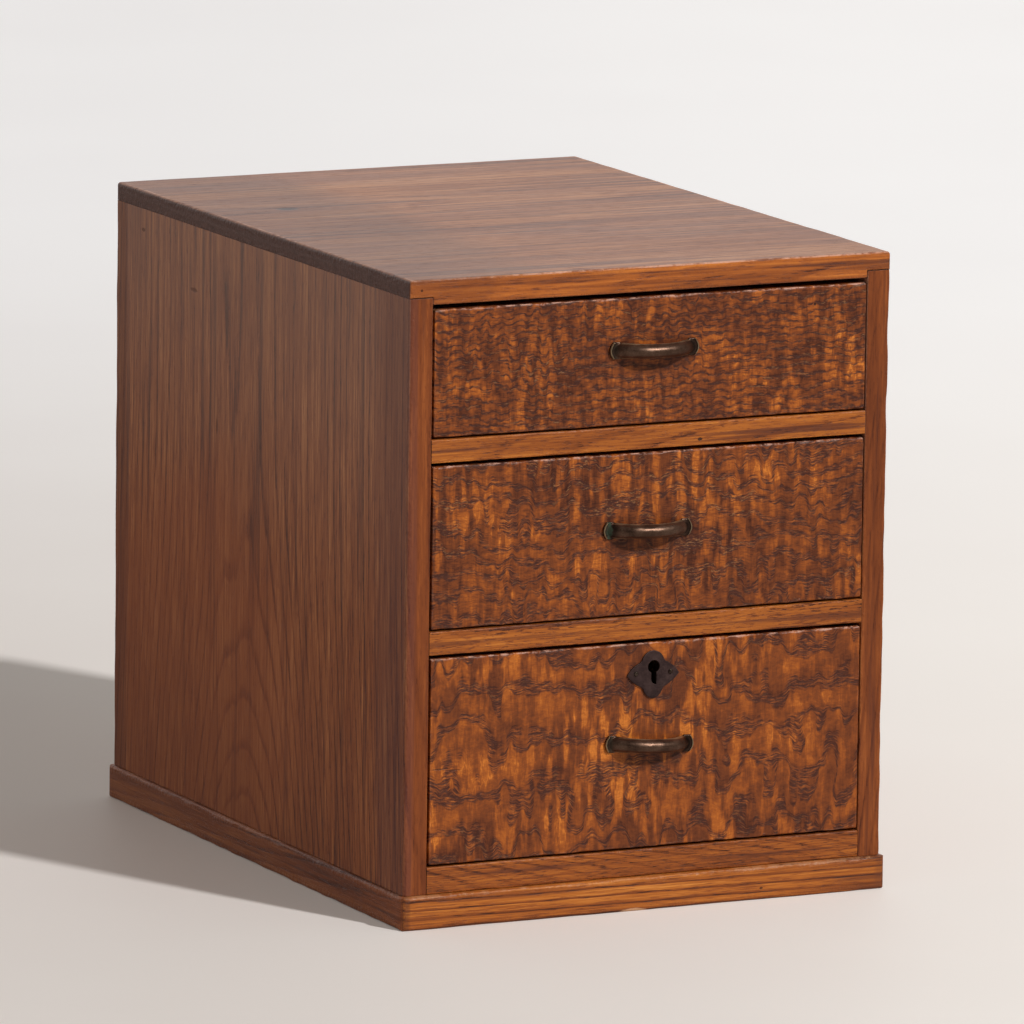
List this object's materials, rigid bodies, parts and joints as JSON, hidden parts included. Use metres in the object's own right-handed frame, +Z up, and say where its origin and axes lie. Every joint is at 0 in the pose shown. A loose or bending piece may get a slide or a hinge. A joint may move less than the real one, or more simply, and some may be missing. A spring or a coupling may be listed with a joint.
{
  "type": "small chest of drawers",
  "caption": "Small wooden desk-top chest with drawers that slide on shelves, bow pulls and a key lock in the bottom drawer, on a mitred plinth.",
  "frame": {"origin": "on the floor, under the middle of the box round the whole shut chest", "axes": "+X to the right as seen from the front, +Y from the drawer fronts to the back, +Z up"},
  "size_m": [0.3074, 0.4218, 0.371],
  "materials": {
    "carcase_wood": "old brown lacquer, satin, straight grain",
    "rail_wood": "orange-brown lacquer, satin, worn at the edges",
    "figured_wood": "lacquered wood with a strong rippled figure",
    "plain_wood": "bare planed wood, aged",
    "bronze": "dark patinated bronze, rubbed bright on the arrises",
    "iron": "brown-black iron sheet, matt",
    "brass": "old brass, dull",
    "steel": "plain steel"
  },
  "bodies": {
    "case": {"bottom_board": "plain_wood", "bottom_rail": "rail_wood", "front_plinth_rail": "rail_wood", "left_plinth_rail": "rail_wood", "left_side": "carcase_wood", "lower_back_board": "carcase_wood", "lower_rail": "rail_wood", "lower_shelf": "plain_wood", "rear_plinth_rail": "rail_wood", "right_plinth_rail": "rail_wood", "right_side": "carcase_wood", "strike_left_nail": "steel", "strike_plate": "brass", "strike_right_nail": "steel", "top_board": "carcase_wood", "upper_back_board": "carcase_wood", "upper_rail": "rail_wood", "upper_shelf": "plain_wood"},
    "top_drawer": {"top_drawer_back": "plain_wood", "top_drawer_bottom": "plain_wood", "top_drawer_front": "figured_wood", "top_drawer_left_side": "plain_wood", "top_drawer_right_side": "plain_wood", "top_pull": "bronze", "top_pull_left_nut": "brass", "top_pull_left_washer": "steel", "top_pull_right_nut": "brass", "top_pull_right_washer": "steel"},
    "middle_drawer": {"middle_drawer_back": "plain_wood", "middle_drawer_bottom": "plain_wood", "middle_drawer_front": "figured_wood", "middle_drawer_left_side": "plain_wood", "middle_drawer_right_side": "plain_wood", "middle_pull": "bronze", "middle_pull_left_nut": "brass", "middle_pull_left_washer": "steel", "middle_pull_right_nut": "brass", "middle_pull_right_washer": "steel"},
    "bottom_drawer": {"bottom_drawer_back": "plain_wood", "bottom_drawer_bottom": "plain_wood", "bottom_drawer_front": "figured_wood", "bottom_drawer_left_side": "plain_wood", "bottom_drawer_right_side": "plain_wood", "bottom_pull": "bronze", "bottom_pull_left_nut": "brass", "bottom_pull_left_washer": "steel", "bottom_pull_right_nut": "brass", "bottom_pull_right_washer": "steel", "keyhole_plate": "iron", "keyhole_plate_left_nail": "brass", "keyhole_plate_right_nail": "brass", "lock_case": "brass", "lock_lower_left_screw": "steel", "lock_lower_right_screw": "steel", "lock_plate": "brass", "lock_spring": "steel", "lock_upper_left_screw": "steel", "lock_upper_right_screw": "steel"},
    "bolt": {"lock_bolt": "brass"}
  },
  "joints": [
    {"name": "top_drawer_slide", "type": "slide", "parent": "case", "child": "top_drawer", "axis": [0, -1, 0], "range_m": [0, 0.3]},
    {"name": "middle_drawer_slide", "type": "slide", "parent": "case", "child": "middle_drawer", "axis": [0, -1, 0], "range_m": [0, 0.3]},
    {"name": "bottom_drawer_slide", "type": "slide", "parent": "case", "child": "bottom_drawer", "axis": [0, -1, 0], "range_m": [0, 0.3]},
    {"name": "bolt_slide", "type": "slide", "parent": "bottom_drawer", "child": "bolt", "axis": [0, 0, 1], "range_m": [0, 0.0055]}
  ]
}
